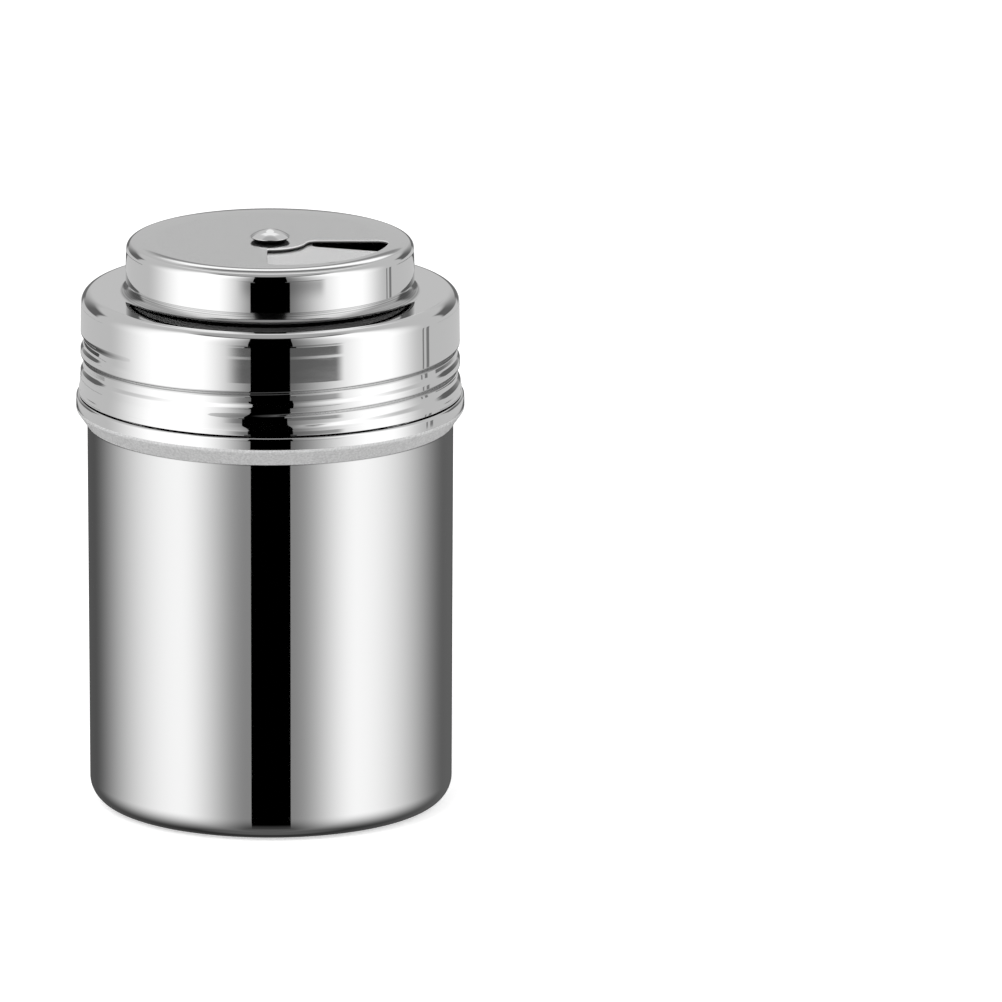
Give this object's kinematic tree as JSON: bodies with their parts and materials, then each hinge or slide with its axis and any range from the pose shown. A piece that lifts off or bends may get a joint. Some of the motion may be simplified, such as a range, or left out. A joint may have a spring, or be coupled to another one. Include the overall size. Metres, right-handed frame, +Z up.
{
  "type": "spice shaker",
  "caption": "Polished steel table shaker: a drawn can with a rolled thread, a screw lid with a perforated hub, and a turning dial with a quarter window held by a domed rivet.",
  "frame": {"origin": "centre of the can's base, on the surface that the shaker stands on", "axes": "+Z up along the can's axis, the screw's axis and the dial's axis; the front, with the dial's window to the front right, faces -Y"},
  "size_m": [0.0693, 0.0692, 0.1048],
  "materials": {
    "mirror_steel": "mirror-polished stainless steel sheet",
    "dial_steel": "polished stainless steel sheet with a finely grained flat top",
    "rivet_steel": "polished domed rivet",
    "spring_steel": "plain stamped spring steel"
  },
  "bodies": {
    "can": {"can_body": "mirror_steel"},
    "rivet_stack": {"rivet": "rivet_steel", "spring_washer": "spring_steel", "tail_washer": "spring_steel"},
    "lid": {"lid_cap": "mirror_steel"},
    "dial": {"turning_dial": "dial_steel"}
  },
  "joints": [
    {"name": "lid_lift", "type": "slide", "parent": "can", "child": "rivet_stack", "axis": [0, 0, 1], "range_m": [0, 0.0241]},
    {"name": "lid_turn", "type": "hinge", "parent": "rivet_stack", "child": "lid", "pos_m": [0, 0, 0.0935], "axis": [0, 0, 1], "range_deg": [0, 2160]},
    {"name": "dial_turn", "type": "hinge", "parent": "lid", "child": "dial", "pos_m": [0, 0, 0.102], "axis": [0, 0, 1], "continuous": true}
  ],
  "couplings": [
    {"joint": "lid_lift", "follows": "lid_turn", "m_per_rad": 0.00063662}
  ]
}
